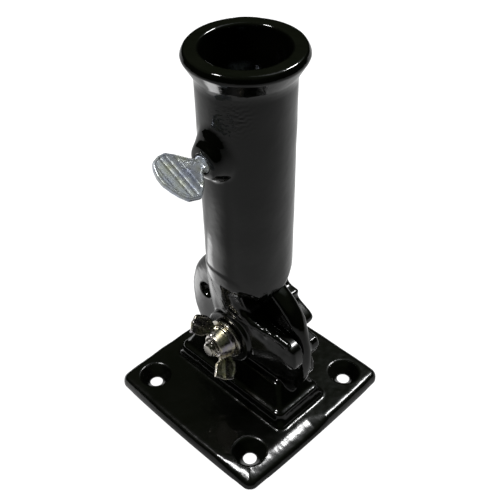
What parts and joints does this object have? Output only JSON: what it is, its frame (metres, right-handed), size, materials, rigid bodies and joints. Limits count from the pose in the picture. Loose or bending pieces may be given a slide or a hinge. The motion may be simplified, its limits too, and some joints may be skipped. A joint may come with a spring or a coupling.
{
  "type": "adjustable rod holder",
  "caption": "Cast rod holder: flared tube on a fork that tilts about an upright disc on a square flange, clamped by a bolt and wing nut, with a thumb screw in the tube.",
  "frame": {"origin": "centre of the flange's flat underside", "axes": "+Z away from the surface it is screwed to, along the upright tube; X along the pivot bolt with the wing nut on the -X side"},
  "size_m": [0.078, 0.078, 0.1522],
  "materials": {
    "enamel": "gloss black enamel on a casting",
    "bolt_plating": "bright zinc plate",
    "nut_plating": "zinc plate with a faint yellow and violet cast",
    "zinc_plating": "bright zinc plate, ribbed head"
  },
  "bodies": {
    "base": {"base_plate": "enamel"},
    "holder": {"pole_tube": "enamel", "pivot_bolt": "bolt_plating"},
    "washer": {"flat_washer": "bolt_plating"},
    "nut": {"wing_nut": "nut_plating"},
    "lock_screw": {"thumb_screw": "zinc_plating"}
  },
  "joints": [
    {"name": "tilt", "type": "hinge", "parent": "base", "child": "holder", "pos_m": [0, 0, 0.03385], "axis": [1, 0, 0], "range_deg": [-80, 30]},
    {"name": "washer_travel", "type": "slide", "parent": "holder", "child": "washer", "axis": [-1, 0, 0], "range_m": [0, 0.0016]},
    {"name": "nut_turn", "type": "hinge", "parent": "washer", "child": "nut", "pos_m": [-0.016, 0, 0.03385], "axis": [-1, 0, 0], "range_deg": [0, 450]},
    {"name": "thumb_screw_turn", "type": "hinge", "parent": "holder", "child": "lock_screw", "pos_m": [-0.00325, -0.00551, 0.11945], "axis": [0.9985, -0.0035, 0.054], "continuous": true}
  ],
  "couplings": [
    {"joint": "washer_travel", "follows": "nut_turn", "m_per_rad": 0.00020213}
  ]
}
